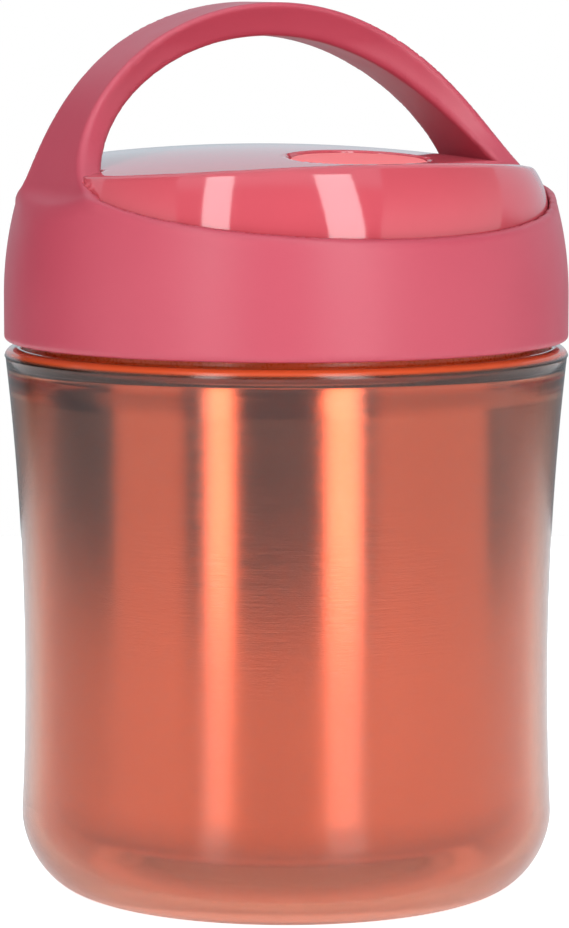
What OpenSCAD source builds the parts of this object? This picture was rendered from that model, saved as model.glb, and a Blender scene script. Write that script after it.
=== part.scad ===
// Insulated food jar: a steel vacuum vessel in a tinted plastic shell, closed by a screw lid
// whose collar and carrying handle are one moulding. A button in the lid's domed cover opens a
// sprung vent valve. Origin at the centre of the base, +Z up, front (the button side) at -Y.
// Millimetres.

/* [Shell] */
// Radius of the tinted shell at its waist
waist_r = 48.6; // [44:0.2:54]
// Height of the waist above the table
waist_z = 41; // [34:1:50]
// Sweep radius of the waisted wall
wall_sweep_r = 520; // [480:1:700]
// Height of the shell's rim
shell_h = 100.6; // [90:0.2:120]
// Wall thickness of the shell
shell_t = 2.8; // [2:0.1:3.2]
// Width of the curved corner round the base
base_corner_w = 11; // [8:0.5:14]
// Height of the curved corner round the base
base_corner_h = 14; // [10:0.5:18]
// Thickness of the shell's floor
shell_floor_t = 3; // [2:0.1:4]
// Depth of the recess inside the standing ring
foot_recess = 0.8; // [0.4:0.1:1.2]
// Width of the ring that the jar stands on
foot_ring_w = 6; // [4:0.5:9]
// Radius of the rounded top edge of the rim
rim_round = 2; // [1:0.1:2.2]

/* [Vacuum vessel] */
// Sheet thickness of the steel walls
steel_t = 0.6; // [0.5:0.05:0.8]
// Air gap between the vessel and the shell at the waist
vessel_gap = 1.2; // [0.8:0.1:2]
// Radius of the vessel's bottom corner
vessel_corner_r = 10; // [6:0.5:12]
// Step from the vessel's body in to its neck
neck_step = 1.6; // [1.4:0.1:2.4]
// Height of the mouth above the shell's rim
mouth_rise = 8.4; // [7.4:0.1:11]
// Width of the vessel's lip
lip_w = 4; // [3.4:0.1:5]
// Radius of the bowl's bottom corner
bowl_corner_r = 9; // [5:0.5:14]
// Vacuum gap under the bowl
vacuum_gap = 4.2; // [3.5:0.1:6]
// Width of the flat that the closing disc is welded to
weld_land = 3.6; // [3:0.1:6]
// Thickness of the pad between vessel and shell
pad_t = 6.6; // [5:0.1:8]
// Radius of the pad
pad_r = 27; // [20:0.5:30]
// Radius of the getter pellet
getter_r = 6; // [4:0.5:8]
// Radius of the plug that seals the vacuum
vacuum_plug_r = 3; // [2:0.5:4]

/* [Neck] */
// Radial thickness of the neck ring's sleeve
neck_sleeve_t = 1.8; // [1.4:0.1:2.2]
// Thickness of the neck ring's flange
flange_t = 1.8; // [1.4:0.1:2.4]
// Thickness of the flat gasket under the flange
neck_gasket_t = 0.6; // [0.4:0.1:1]
// Depth of the screw thread on each side
thread_depth = 1.4; // [1:0.1:1.5]
// Clearance between the two threads
thread_gap = 0.6; // [0.4:0.1:0.8]

/* [Lid collar] */
// Gap between the shell's rim and the collar
collar_gap = 1.2; // [0.6:0.1:1.6]
// Wall thickness of the collar
collar_t = 3; // [2.2:0.1:3.2]
// Height of the straight part of the collar
collar_straight = 8.2; // [6:0.1:12]
// Radius of the collar wall's inward curve
collar_curve_r = 65; // [50:1:90]
// Height of the collar at the front and back
swoop_h = 20.6; // [19:0.1:22.2]
// Height of the collar at the ears, where it turns into the handle
ear_h = 29; // [27.2:0.1:30.2]
// Distance of the ears in front of the middle
ear_y = 16; // [13:0.5:19]
// Thickness of the deck that carries the cover
deck_t = 2; // [1.6:0.1:2.4]
// Height of the deck's top above the collar's bottom edge
deck_h = 17.2; // [15.8:0.1:18.2]

/* [Handle] */
// How far the arch's outer circle lies inside the collar's side
arch_inset = 3.5; // [2.5:0.1:5]
// Height of that circle's centre above the collar's bottom edge
arch_h = 13.2; // [11.2:0.1:15.2]
// Thickness of the handle's legs
leg_t = 2.7; // [2.4:0.1:3.4]
// Thickness of the arch at its top
arch_top_t = 6.2; // [5:0.1:7.5]
// Height above the ears at which the arch's front edge leans back most
lean_h = 20.2; // [18:0.1:22]
// Distance of the front edge behind the middle at that height
lean_y = 1.6; // [0.5:0.1:2.4]
// Distance of the arch's front face behind the middle, at the top
arch_front_y = 3.3; // [1:0.1:5]
// Distance of the arch's back face behind the middle, at the top
arch_back_y = 21.5; // [19:0.1:23]
// Distance of the legs' back face behind the middle
leg_back_y = 18.5; // [17:0.1:19]

/* [Cover] */
// Clearance between the cover and the collar
cover_gap = 0.4; // [0.3:0.05:0.6]
// Radius of the cover wall's inward curve
cover_curve_r = 15; // [12:0.5:20]
// Wall thickness of the cover
cover_t = 2; // [1.4:0.1:2.4]
// Height of the cover's crown above the collar's bottom edge
crown_h = 35.55; // [34.2:0.05:37.2]
// Radius of the crown from front to back
crown_ry = 526; // [400:1:700]
// Radius of the crown from side to side
crown_rx = 227; // [180:1:300]

/* [Plug] */
// Clearance between the plug and the mouth
plug_gap = 1.6; // [1.2:0.05:2]
// Wall thickness of the plug and the threaded sleeve
cup_t = 1.7; // [1.4:0.1:2]
// Depth of the plug below the mouth
plug_depth = 12.2; // [9:0.2:15]
// Thickness of the plug's bottom plate
plug_plate_t = 2; // [1.6:0.1:2.6]
// Thickness of the lid gasket
gasket_t = 2; // [1.6:0.1:2.4]
// Thickness of the plug's wiper ring
wiper_t = 3; // [2.4:0.1:3.6]

/* [Vent] */
// Distance of the button's middle from the cover's front
vent_inset = 19.2; // [18:0.1:22]
// Radius of the button
button_r = 12.4; // [11:0.1:13]
// Clearance round the button
button_gap = 0.4; // [0.3:0.05:0.6]
// How far the button lies below the crown
button_sink = 0.3; // [0.1:0.05:0.6]
// Height of the button's skirt
button_h = 5.6; // [4.6:0.1:6.4]
// Travel of the button
button_travel = 2.2; // [1.5:0.1:2.4]
// Radius of the valve stem
stem_r = 2.5; // [2:0.1:3]
// Running clearance of the stem in its guide
stem_fit = 0.08; // [0.05:0.01:0.1]
// Wall thickness of the guide
guide_t = 1.2; // [1:0.1:1.6]
// Wire diameter of the vent spring
wire_d = 0.9; // [0.7:0.05:1]
// Number of turns of the vent spring
spring_turns = 5; // [4:1:6]
// Radius of the valve's sealing disc
valve_r = 6.6; // [5.6:0.1:7]
// Thickness of the valve's sealing disc
valve_t = 2; // [1.6:0.1:2.4]
// Thickness of the clip that holds the valve
clip_t = 0.8; // [0.6:0.1:1]
// Radius of the clip
clip_r = 4.2; // [3.8:0.1:4.6]

/* [Hidden] */

$fn = 128;
corner_pull = 0.5;         // how full the curved corner round the base is
seat = 0.1;                 // air between parts that are pressed or glued together
sleeve_gap = 0.3;           // air between the collar and the threaded sleeve
over = 1;                   // how far a cutting solid runs past what it cuts
arc_steps = 12;             // straight steps in each rounded stretch of an outline
curve_steps = 16;           // straight steps in each swept edge
cup_rise = 0.5;             // height of the inner cup's edge above the collar's edge
flange_drop = 0.6;          // depth of the neck ring's flange below the shell's rim
ledge_w = 1.4;              // width of the shell's ledge that carries the flange
ledge_t = 1.5;              // thickness of that ledge
ledge_slope = 2.5;          // height over which the ledge runs into the wall below it
wiper_drop = 1.4;           // depth of the wiper ring below the mouth
shoulder_gap = 0.3;         // air between the vessel's shoulder and the flange
dish_w = 5;                 // width of the dish round the vacuum plug
dish_h = 1;                 // depth of that dish
getter_t = 1.6;             // thickness of the getter pellet
vacuum_plug_t = 0.8;        // thickness of the vacuum plug
button_dome_r = 320;        // radius of the button's gently rounded top
button_cap_t = 2.6;         // thickness of the button's top
button_wall_t = 1.6;        // thickness of the button's skirt
button_slant = 1;           // how far the button's top drops across it
spring_gap = 0.25;          // air between the spring and the guide
stem_groove = 0.6;          // depth of the clip's groove in the stem
stem_end = 0.6;             // length of the stem below the clip
clip_slot_w = 2.4;          // width of the clip's open side

// Heights of the parts that stack up from the floor
vessel_z = shell_floor_t + pad_t + seat;
bowl_z = vessel_z + steel_t + vacuum_gap;
flange_top_z = shell_h - flange_drop;
flange_z = flange_top_z - flange_t;
ledge_z = flange_z - neck_gasket_t;
collar_z = shell_h + collar_gap;
mouth_z = shell_h + mouth_rise;
cup_z = collar_z + cup_rise;
web_z = mouth_z + gasket_t;
plug_z = mouth_z - plug_depth;
plate_top_z = plug_z + plug_plate_t;
wiper_z = mouth_z - wiper_drop - wiper_t;
deck_z = collar_z + deck_h;
swoop_z = collar_z + swoop_h;
ear_z = collar_z + ear_h;
crown_z = collar_z + crown_h;

// Radii that follow from the fits
collar_r = shell_out_r(shell_h);
reach = collar_r + 8;       // half width of the blocks that cut the lid's outlines
vessel_r = waist_r - shell_t - vessel_gap;
neck_r = vessel_r - neck_step;
bowl_r = neck_r - lip_w;
closing_disc_r = vessel_r - vessel_corner_r - weld_land;
flange_r = shell_in_r(flange_z) - seat;
neck_core_r = neck_r + seat + neck_sleeve_t;
thread_root_r = neck_core_r + thread_depth + thread_gap;
collar_in_r = collar_r - collar_t;
sleeve_r = collar_in_r - sleeve_gap;
plug_r = bowl_r - plug_gap;
cover_r = collar_in_r - cover_gap;
collar_curve_z = collar_z + collar_straight;
cover_curve_z = swoop_z + cover_t;
ledge_in_r = shell_in_r(flange_z) - ledge_w;
neck_bend = (vessel_r - neck_r) / 2;
shoulder_z = flange_z - shoulder_gap - neck_bend;
arch_r = collar_r - arch_inset;
arch_z = collar_z + arch_h;
arch_top_z = arch_z + arch_r;
arch_in_r = arch_r - leg_t;
arch_in_z = arch_top_z - arch_top_t - arch_in_r;
rim_z = ear_z - 4;
rim_r = collar_out_r(rim_z);
vent_y = cover_r - vent_inset;
guide_r = stem_r + stem_fit + guide_t;

// Vent heights
button_top_z = crown_z - button_sink - pow(vent_y, 2) / (2 * crown_ry);
button_z = button_top_z - button_h;
button_under_z = button_top_z - button_cap_t - button_slant;
guide_top_z = button_under_z - button_travel - seat;    // the guide's end stops the button
spring_z = deck_z;
spring_r = guide_r + spring_gap + wire_d / 2;
valve_z = plug_z - valve_t;
clip_z = valve_z - clip_t;
stem_z = clip_z - stem_end;

// Radius of the collar's outer wall at height z, above its straight part
function collar_out_r(z) = collar_r - collar_curve_r + sqrt(pow(collar_curve_r, 2) - pow(z - collar_curve_z, 2));
// Radius of the shell's outer wall at height z
function shell_out_r(z) = waist_r + pow(z - waist_z, 2) / (2 * wall_sweep_r);
// Radius of the shell's inner wall at height z
function shell_in_r(z) = shell_out_r(z) - shell_t;
// Points of an arc about c
function arc(c, r, from, to, steps = arc_steps) =
    [for (i = [0:steps]) let (a = from + (to - from) * i / steps) c + r * [cos(a), sin(a)]];
// Points of a cubic curve, without its first point
function cubic(p0, p1, p2, p3) =
    [for (i = [1:curve_steps]) let (t = i / curve_steps, s = 1 - t)
        s * s * s * p0 + 3 * s * s * t * p1 + 3 * s * t * t * p2 + t * t * t * p3];
// Points up the shell's wall, set back by t, from height z0 to z1
function wall_points(t, z0, z1) =
    [for (i = [0:curve_steps]) let (z = z0 + (z1 - z0) * i / curve_steps) [shell_out_r(z) - t, z]];

// ---- Jar ----

// Tinted, satin plastic shell with a glossy rim
module outer_shell() color([0.80, 0.38, 0.30]) {
    wall_foot = [shell_out_r(base_corner_h), base_corner_h];
    foot_r = wall_foot[0] - base_corner_w;
    in_foot = [shell_in_r(base_corner_h), base_corner_h];
    rotate_extrude() polygon(concat(
        [[0, foot_recess], [foot_r - foot_ring_w - foot_recess, foot_recess],
         [foot_r - foot_ring_w, 0], [foot_r, 0]],
        cubic([foot_r, 0], [foot_r + corner_pull * base_corner_w, 0],
              wall_foot - [0, corner_pull * base_corner_h], wall_foot),
        wall_points(0, base_corner_h + 2, shell_h - rim_round),
        arc([shell_out_r(shell_h) - rim_round, shell_h - rim_round], rim_round, 15, 90, 5),
        [[shell_in_r(flange_z), shell_h], [shell_in_r(flange_z), ledge_z], [ledge_in_r, ledge_z],
         [ledge_in_r, ledge_z - ledge_t]],
        wall_points(shell_t, ledge_z - ledge_t - ledge_slope, base_corner_h + 2),
        [in_foot],
        cubic(in_foot, in_foot - [0, corner_pull * (base_corner_h - shell_floor_t)],
              [foot_r - 2 + corner_pull * base_corner_w, shell_floor_t], [foot_r - 2, shell_floor_t]),
        [[0, shell_floor_t]]));
}

// Soft pad that the vessel stands on inside the shell
module base_pad() color([0.25, 0.25, 0.26])
    translate([0, 0, shell_floor_t]) difference() {
        cylinder(h = pad_t, r = pad_r);
        translate([0, 0, -over]) cylinder(h = pad_t + 2 * over, r = pad_r / 2);
    }

// Outer steel wall: open at the bottom until the closing disc is welded in
module vessel_outer() color([0.78, 0.78, 0.80]) {
    corner = [vessel_r - vessel_corner_r, vessel_z + vessel_corner_r];
    rotate_extrude() polygon(concat(
        [[closing_disc_r + seat, vessel_z]],
        arc(corner, vessel_corner_r, -90, 0),
        arc([vessel_r - neck_bend, shoulder_z], neck_bend, 0, 90, 6),
        [[neck_r, shoulder_z + neck_bend], [neck_r, mouth_z - seat],
         [neck_r - steel_t, mouth_z - seat], [neck_r - steel_t, shoulder_z + neck_bend - steel_t]],
        arc([vessel_r - neck_bend, shoulder_z], neck_bend - steel_t, 90, 0, 6),
        arc(corner, vessel_corner_r - steel_t, 0, -90),
        [[closing_disc_r + seat, vessel_z + steel_t]]));
}

// Inner steel wall: the food bowl, with its lip turned out over the outer wall
module vessel_inner() color([0.83, 0.83, 0.85]) {
    corner = [bowl_r - bowl_corner_r, bowl_z + steel_t + bowl_corner_r];
    rotate_extrude() polygon(concat(
        [[0, bowl_z]],
        arc(corner, bowl_corner_r + steel_t, -90, 0),
        [[bowl_r + steel_t, mouth_z - seat - steel_t], [neck_r - steel_t - seat, mouth_z - seat - steel_t],
         [neck_r - steel_t - seat, mouth_z], [bowl_r, mouth_z]],
        arc(corner, bowl_corner_r, 0, -90),
        [[0, bowl_z + steel_t]]));
}

// Steel disc welded into the vessel's bottom, dished in the middle for the vacuum plug
module closing_disc() color([0.74, 0.74, 0.76]) {
    dish_r = vacuum_plug_r + dish_w;
    hole_r = vacuum_plug_r - 1;
    rotate_extrude() polygon([
        [hole_r, vessel_z + dish_h], [dish_r, vessel_z + dish_h], [dish_r + dish_h, vessel_z],
        [closing_disc_r, vessel_z], [closing_disc_r, vessel_z + steel_t],
        [dish_r + dish_h, vessel_z + steel_t], [dish_r, vessel_z + steel_t + dish_h],
        [hole_r, vessel_z + steel_t + dish_h]]);
}

// Pellet that keeps the vacuum, on the inside of the closing disc
module getter() color([0.35, 0.35, 0.38])
    translate([closing_disc_r / 2 + getter_r / 2, 0, vessel_z + steel_t])
        cylinder(h = getter_t, r = getter_r);

// Glass plug over the evacuation hole
module vacuum_plug() color([0.55, 0.60, 0.60])
    translate([0, 0, vessel_z + dish_h - vacuum_plug_t]) cylinder(h = vacuum_plug_t, r = vacuum_plug_r);

// Plastic ring round the neck: its flange sits in the shell's rim, its sleeve takes the screw thread
module neck_ring() color([0.75, 0.30, 0.24])
    difference() {
        union() {
            translate([0, 0, flange_z]) cylinder(h = flange_t, r = flange_r);
            translate([0, 0, flange_z]) cylinder(h = mouth_z - 1 - flange_z, r = neck_core_r);
        }
        translate([0, 0, flange_z - over]) cylinder(h = mouth_z, r = neck_r + seat);
    }

// Flat gasket between the flange and the shell's ledge
module neck_gasket() color([0.85, 0.85, 0.83])
    translate([0, 0, ledge_z]) difference() {
        cylinder(h = neck_gasket_t, r = flange_r);
        translate([0, 0, -over]) cylinder(h = neck_gasket_t + 2 * over, r = ledge_in_r);
    }

// ---- Lid ----

// Points up the leaning front edge of the handle's legs
function leg_front(ear, lean) = cubic(ear, ear + [8.5, 3.1], lean - [2.1, 9], lean);

// Outline of the collar and handle seen from the side: it swoops down at the front and back.
// x is the distance behind the middle, y the height.
module side_outline() {
    ear = [-ear_y, ear_z];
    lean = [lean_y, ear_z + lean_h];
    top = [arch_front_y, arch_top_z + over];
    back_ear = [leg_back_y + 2.5, ear_z - 3.8];
    front_pull = [12 - collar_r, swoop_z + 1.8];
    front_rise = [-collar_r / 2, swoop_z + 4.8];
    back_pull = [reach - 14, swoop_z + 0.6];
    polygon(concat(
        [[reach, collar_z - over], [-reach, collar_z - over], [-reach, swoop_z - 1]],
        cubic([-reach, swoop_z - 1], front_pull, front_rise, ear),
        leg_front(ear, lean),
        cubic(lean, lean + [0.9, 4], top - [0, 8], top),
        [[arch_back_y, top[1]]],
        cubic([arch_back_y, top[1]], [arch_back_y - 1.6, top[1] - 8], [leg_back_y - 2.2, ear_z + 8],
              [leg_back_y - 1.8, ear_z + 2]),
        cubic([leg_back_y - 1.8, ear_z + 2], [leg_back_y - 1.6, ear_z - 1], back_ear - [2, -0.8], back_ear),
        cubic(back_ear, back_ear + [10, -2.4], back_pull, [reach, swoop_z])));
}

// Outline of the handle and collar seen from the front: the arch flares into the collar
module front_outline() {
    flare_z = ear_z + 6;
    flare_x = sqrt(pow(arch_r, 2) - pow(flare_z - arch_z, 2)) - 0.2;
    side = concat(
        [[collar_r + 1, collar_z - 1], [collar_r + 1, ear_z - 10], [rim_r + 0.8, ear_z - 5.5]],
        cubic([rim_r + 0.8, ear_z - 5.5], [rim_r - 0.6, ear_z - 2],
              [flare_x + 2.1, flare_z - 4], [flare_x, flare_z]));
    last = len(side) - 1;
    translate([0, arch_z]) circle(arch_r);
    polygon(concat(side, [for (i = [0:last]) [-side[last - i][0], side[last - i][1]]]));
}

// Solid inside the collar's outer wall, which runs on straight above the rim
module collar_envelope() {
    rotate_extrude() polygon(concat(
        [[0, collar_z], [collar_r - 1, collar_z], [collar_r, collar_z + 1]],
        [for (i = [0:curve_steps]) let (z = collar_curve_z + (rim_z - collar_curve_z) * i / curve_steps)
            [collar_out_r(z), z]],
        [[rim_r, arch_top_z + 2], [0, arch_top_z + 2]]));
}

// Solid of the cover's wall, grown by g; also cuts its seat in the collar
module cover_envelope(g, bottom_z) {
    r = cover_curve_r + g;
    rotate_extrude() polygon(concat(
        [[0, bottom_z], [cover_r + g, bottom_z]],
        arc([cover_r - cover_curve_r, cover_curve_z], r, 0, 90),
        [[0, cover_curve_z + r]]));
}

// The space between the legs and under the arch, from the deck up, narrowed by g
module under_arch(g) {
    front_y = -ear_y - g;
    translate([0, leg_back_y + 6, 0]) rotate([90, 0, 0])
        linear_extrude(height = leg_back_y + 6 - front_y) intersection() {
            translate([0, arch_in_z]) circle(arch_in_r - g);
            translate([-reach, deck_z]) square(2 * reach);
        }
}

// What the collar leaves free for the cover: its whole round, less the two legs
module cover_space() {
    difference() {
        cover_envelope(cover_gap, deck_z);
        translate([-reach, -ear_y, 0]) cube([2 * reach, ear_y + leg_back_y, arch_top_z]);
    }
}

// The legs with the room round them, grown by g: above the ears it follows their leaning front
module leg_room(g) {
    ear = [-ear_y, ear_z];
    lean = [lean_y, ear_z + lean_h];
    front = concat([[-ear_y, 0], ear], leg_front(ear, lean));
    rotate([90, 0, 90]) linear_extrude(height = 2 * reach, center = true)
        polygon(concat([for (p = front) p + [-g, g]],
                       [[leg_back_y + g, lean[1] + g], [leg_back_y + g, g]]));
}

// Everything below the crown, lowered by d
module crown_block(d) {
    r = crown_ry - d;
    translate([0, 0, crown_z - crown_ry]) rotate([0, 90, 0])
        rotate_extrude($fn = 720) intersection() {
            translate([r - crown_rx, 0]) circle(crown_rx, $fn = 720);
            translate([r - reach / 2, -reach]) square([reach / 2 + over, 2 * reach]);
        }
}

// Moulded collar with its carrying handle: one arch that leans back from two swept ears
module handle_collar() color([0.80, 0.38, 0.45])
    difference() {
        intersection() {
            collar_envelope();
            rotate([90, 0, 90]) linear_extrude(height = 2 * reach, center = true) side_outline();
            rotate([90, 0, 0]) linear_extrude(height = 2 * reach, center = true) front_outline();
        }
        translate([0, 0, collar_z - over]) cylinder(h = deck_h - deck_t + over, r = collar_in_r);
        cover_space();
        under_arch(0);
        translate([0, -vent_y, deck_z - deck_t - over]) cylinder(h = deck_t + 2 * over, r = guide_r + seat);
    }

// The cover's outside, drawn in by t all round
module cover_block(t, bottom_z) {
    intersection() {
        cover_envelope(-t, bottom_z);
        crown_block(t);
        union() {
            difference() {
                cover_envelope(over, bottom_z - over);
                leg_room(cover_gap + t);
            }
            under_arch(cover_gap + t);
        }
    }
}

// Glossy cover with a crowned top, glued to the deck; its sides make room for the handle's legs
module lid_cover() color([0.86, 0.38, 0.45])
    difference() {
        cover_block(0, deck_z);
        cover_block(cover_t, deck_z - over);
        translate([0, -vent_y, button_z - 1]) cylinder(h = button_h + 5, r = button_r + button_gap);
    }

// Inner cup: threaded sleeve, web over the mouth, and the plug's wall
module lid_cup() color([0.88, 0.86, 0.85])
    rotate_extrude() polygon([
        [thread_root_r, cup_z], [sleeve_r, cup_z], [sleeve_r, deck_z - deck_t - seat],
        [sleeve_r - cup_t, deck_z - deck_t - seat], [sleeve_r - cup_t, web_z + cup_t],
        [plug_r - cup_t, web_z + cup_t], [plug_r - cup_t, plate_top_z],
        [plug_r, plate_top_z], [plug_r, web_z], [thread_root_r, web_z]]);

// Foam block that fills the plug, bored for the vent guide
module lid_insulation() color([0.93, 0.92, 0.88])
    difference() {
        union() {
            translate([0, 0, plate_top_z + seat])
                cylinder(h = web_z + cup_t - plate_top_z, r = plug_r - cup_t - seat);
            translate([0, 0, web_z + cup_t + seat])
                cylinder(h = deck_z - deck_t - 2 * seat - web_z - cup_t, r = sleeve_r - cup_t - seat);
        }
        translate([0, -vent_y, plug_z])
            cylinder(h = deck_z - plug_z, r = guide_r + seat);
    }

// Plate that closes the plug, with the hole that the valve seals
module plug_plate() color([0.90, 0.88, 0.87])
    difference() {
        translate([0, 0, plug_z]) cylinder(h = plug_plate_t, r = plug_r);
        translate([0, -vent_y, plug_z - over]) cylinder(h = plug_plate_t + 2 * over, r = stem_r + 1);
    }

// Silicone ring that the web presses on the vessel's lip
module lid_gasket() color([0.92, 0.92, 0.90])
    translate([0, 0, mouth_z]) difference() {
        cylinder(h = gasket_t, r = neck_r - 0.2);
        translate([0, 0, -over]) cylinder(h = gasket_t + 2 * over, r = plug_r + seat);
    }

// Silicone wiper ring round the plug
module plug_wiper() color([0.92, 0.92, 0.90])
    translate([0, 0, wiper_z]) difference() {
        cylinder(h = wiper_t, r = bowl_r - seat);
        translate([0, 0, -over]) cylinder(h = wiper_t + 2 * over, r = plug_r + seat);
    }

// ---- Vent ----

// Button: a capped skirt whose gently rounded top carries on the crown's slope
module vent_button() color([0.98, 0.50, 0.46]) {
    slope = asin(vent_y / crown_ry);
    difference() {
        intersection() {
            translate([0, -vent_y, button_z]) cylinder(h = button_h + 4, r = button_r);
            translate([0, -vent_y, button_top_z]) rotate([slope, 0, 0])
                translate([0, 0, -button_dome_r]) sphere(button_dome_r, $fn = 900);
        }
        translate([0, -vent_y, button_z - over])
            cylinder(h = button_under_z - button_z + over, r = button_r - button_wall_t);
    }
}

// Stem from the button to the valve
module vent_stem() color([0.90, 0.88, 0.87])
    translate([0, -vent_y, 0]) difference() {
        translate([0, 0, stem_z]) cylinder(h = button_under_z - stem_z, r = stem_r);
        translate([0, 0, clip_z]) difference() {
            cylinder(h = clip_t, r = stem_r + over);
            translate([0, 0, -over]) cylinder(h = clip_t + 2 * over, r = stem_r - stem_groove);
        }
    }

// Coil spring between the guide and the button
module vent_spring() color([0.80, 0.80, 0.82]) {
    length = button_under_z - spring_z - wire_d;
    ring_steps = 16;
    sides = 8;
    rings = spring_turns * ring_steps;
    points = [for (i = [0:rings]) let (a = 360 * i / ring_steps, z = spring_z + wire_d / 2 + length * i / rings)
        for (j = [0:sides - 1]) let (b = 360 * j / sides, r = spring_r + wire_d / 2 * cos(b))
            [r * cos(a), r * sin(a) - vent_y, z + wire_d / 2 * sin(b)]];
    walls = [for (i = [0:rings - 1]) for (j = [0:sides - 1]) let (k = (j + 1) % sides)
        [i * sides + j, i * sides + k, (i + 1) * sides + k, (i + 1) * sides + j]];
    ends = [[for (j = [sides - 1:-1:0]) j], [for (j = [0:sides - 1]) rings * sides + j]];
    polyhedron(points, concat(walls, ends));
}

// Tube that guides the stem through the foam
module vent_guide() color([0.88, 0.86, 0.85])
    translate([0, -vent_y, plate_top_z + seat]) difference() {
        cylinder(h = guide_top_z - plate_top_z - seat, r = guide_r);
        translate([0, 0, -over]) cylinder(h = guide_top_z, r = stem_r + stem_fit);
    }

// Silicone disc that seals the plug's hole from below
module vent_valve() color([0.92, 0.92, 0.90])
    translate([0, -vent_y, valve_z]) difference() {
        cylinder(h = valve_t, r = valve_r);
        translate([0, 0, -over]) cylinder(h = valve_t + 2 * over, r = stem_r);
    }

// Steel clip in the stem's groove under the valve
module stem_clip() color([0.75, 0.75, 0.77])
    translate([0, -vent_y, clip_z]) difference() {
        cylinder(h = clip_t, r = clip_r);
        translate([0, 0, -over]) cylinder(h = clip_t + 2 * over, r = stem_r - stem_groove);
        translate([-clip_slot_w / 2, 0, -over]) cube([clip_slot_w, clip_r + over, clip_t + 2 * over]);
    }

outer_shell();
base_pad();
vessel_outer();
vessel_inner();
closing_disc();
getter();
vacuum_plug();
neck_ring();
neck_gasket();
handle_collar();
lid_cover();
lid_cup();
lid_insulation();
plug_plate();
lid_gasket();
plug_wiper();
vent_button();
vent_stem();
vent_spring();
vent_guide();
vent_valve();
stem_clip();
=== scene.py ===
import math

import bmesh
import bpy
import numpy as np
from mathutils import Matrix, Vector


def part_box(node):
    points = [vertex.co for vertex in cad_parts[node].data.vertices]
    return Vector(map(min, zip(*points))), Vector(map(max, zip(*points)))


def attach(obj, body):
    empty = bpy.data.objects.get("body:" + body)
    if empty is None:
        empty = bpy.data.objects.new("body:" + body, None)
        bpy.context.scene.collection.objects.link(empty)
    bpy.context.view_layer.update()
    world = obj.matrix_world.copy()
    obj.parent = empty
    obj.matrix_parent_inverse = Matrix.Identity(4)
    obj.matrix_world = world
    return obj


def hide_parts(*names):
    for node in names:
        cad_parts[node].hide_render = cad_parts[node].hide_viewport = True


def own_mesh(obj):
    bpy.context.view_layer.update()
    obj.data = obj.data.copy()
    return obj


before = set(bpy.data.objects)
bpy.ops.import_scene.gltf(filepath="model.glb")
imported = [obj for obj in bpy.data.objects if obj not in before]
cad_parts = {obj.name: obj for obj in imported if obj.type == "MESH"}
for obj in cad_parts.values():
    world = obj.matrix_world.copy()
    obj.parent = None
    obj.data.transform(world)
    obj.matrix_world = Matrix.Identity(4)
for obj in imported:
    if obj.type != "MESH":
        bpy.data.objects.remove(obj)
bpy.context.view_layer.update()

# ---- Camera ----
# A long lens near the height of the lid, turned to the jar's left so that the button shows under
# the arch. The jar fills the frame, so the camera needs no shift.
MM = 0.001
CAMERA_AWAY = 0.800
CAMERA_HEIGHT = 0.1696
CAMERA_AZIMUTH = math.radians(-26)
CAMERA_DOWN = 0.1135
CAMERA_TURN = 0.0004
LONG_SIDE_PX = 928
FOCAL_PX = 4345

camera_data = bpy.data.cameras.new("camera")
camera = bpy.data.objects.new("camera", camera_data)
bpy.context.scene.collection.objects.link(camera)
camera.location = (CAMERA_AWAY * math.sin(CAMERA_AZIMUTH), -CAMERA_AWAY * math.cos(CAMERA_AZIMUTH),
                   CAMERA_HEIGHT)
camera.rotation_euler = (math.pi / 2 - CAMERA_DOWN, 0, CAMERA_AZIMUTH + CAMERA_TURN)
camera_data.sensor_width = 36
camera_data.lens = camera_data.sensor_width * FOCAL_PX / LONG_SIDE_PX
camera_data.clip_start = 0.01
bpy.context.scene.camera = camera

# ---- Table, softboxes and room ----
# The jar stands on a round table of white acrylic, lit from below, in a cool room with a white
# backdrop. Two strip softboxes arch over it, each with a dimmer board on its outer side, and a
# black flag stands at the left.
TABLE_R = 500
TABLE_SIDES = 96
TABLE_WHITE = (0.86, 0.86, 0.86)
TABLE_ROUGH = 0.35
TABLE_GLOW = 0.37           # light that the table gives the jar
TABLE_SEEN = 1.0            # light that the camera sees on it
PANEL_AWAY = 1000
PANEL_ROWS = 32
PANEL_COLUMNS = 6
LEAN_UP = 40                # degrees up at which a panel has leant over by its full lean
# A panel's reflection: its left and right round the jar, its foot and head up a dome, its lean,
# all in degrees, and its brightness
PANELS = {
    "left_softbox": ((-17.8, -11.9), (-9, 38.5), 1.4, 6),
    "right_softbox": ((9.0, 16.8), (-9, 38.5), -3.6, 6),
    "left_board": ((-42, -23), (-9, 45), 0, 1.0),
    "right_board": ((20, 52), (-9, 45), 0, 1.0),
    "left_flag": ((-67, -46), (-9, 45), 0, 0.03),
}
BOARD_FADE = (0.25, 1)      # share of a board's height over which its light falls off
BOARD_HEAD = 0.1            # brightness at its head
ROOM_DARK = 0.08            # behind the camera
ROOM_LIGHT = 0.85           # behind the jar and overhead
ROOM_FADE = (0.15, 0.65)
ROOM_LOW = 0.35             # share of it that is left below the table
FLOOR_FADE = (-0.15, 0.08)
ROOM_COOL = (0.76, 0.92, 1.0, 1)


def new_material(name):
    """An empty material and its node tree, with the output node named out."""
    made = bpy.data.materials.new(name)
    made.use_nodes = True
    tree = made.node_tree
    tree.nodes.clear()
    out = tree.nodes.new("ShaderNodeOutputMaterial")
    out.name = "out"
    return made, tree


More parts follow.
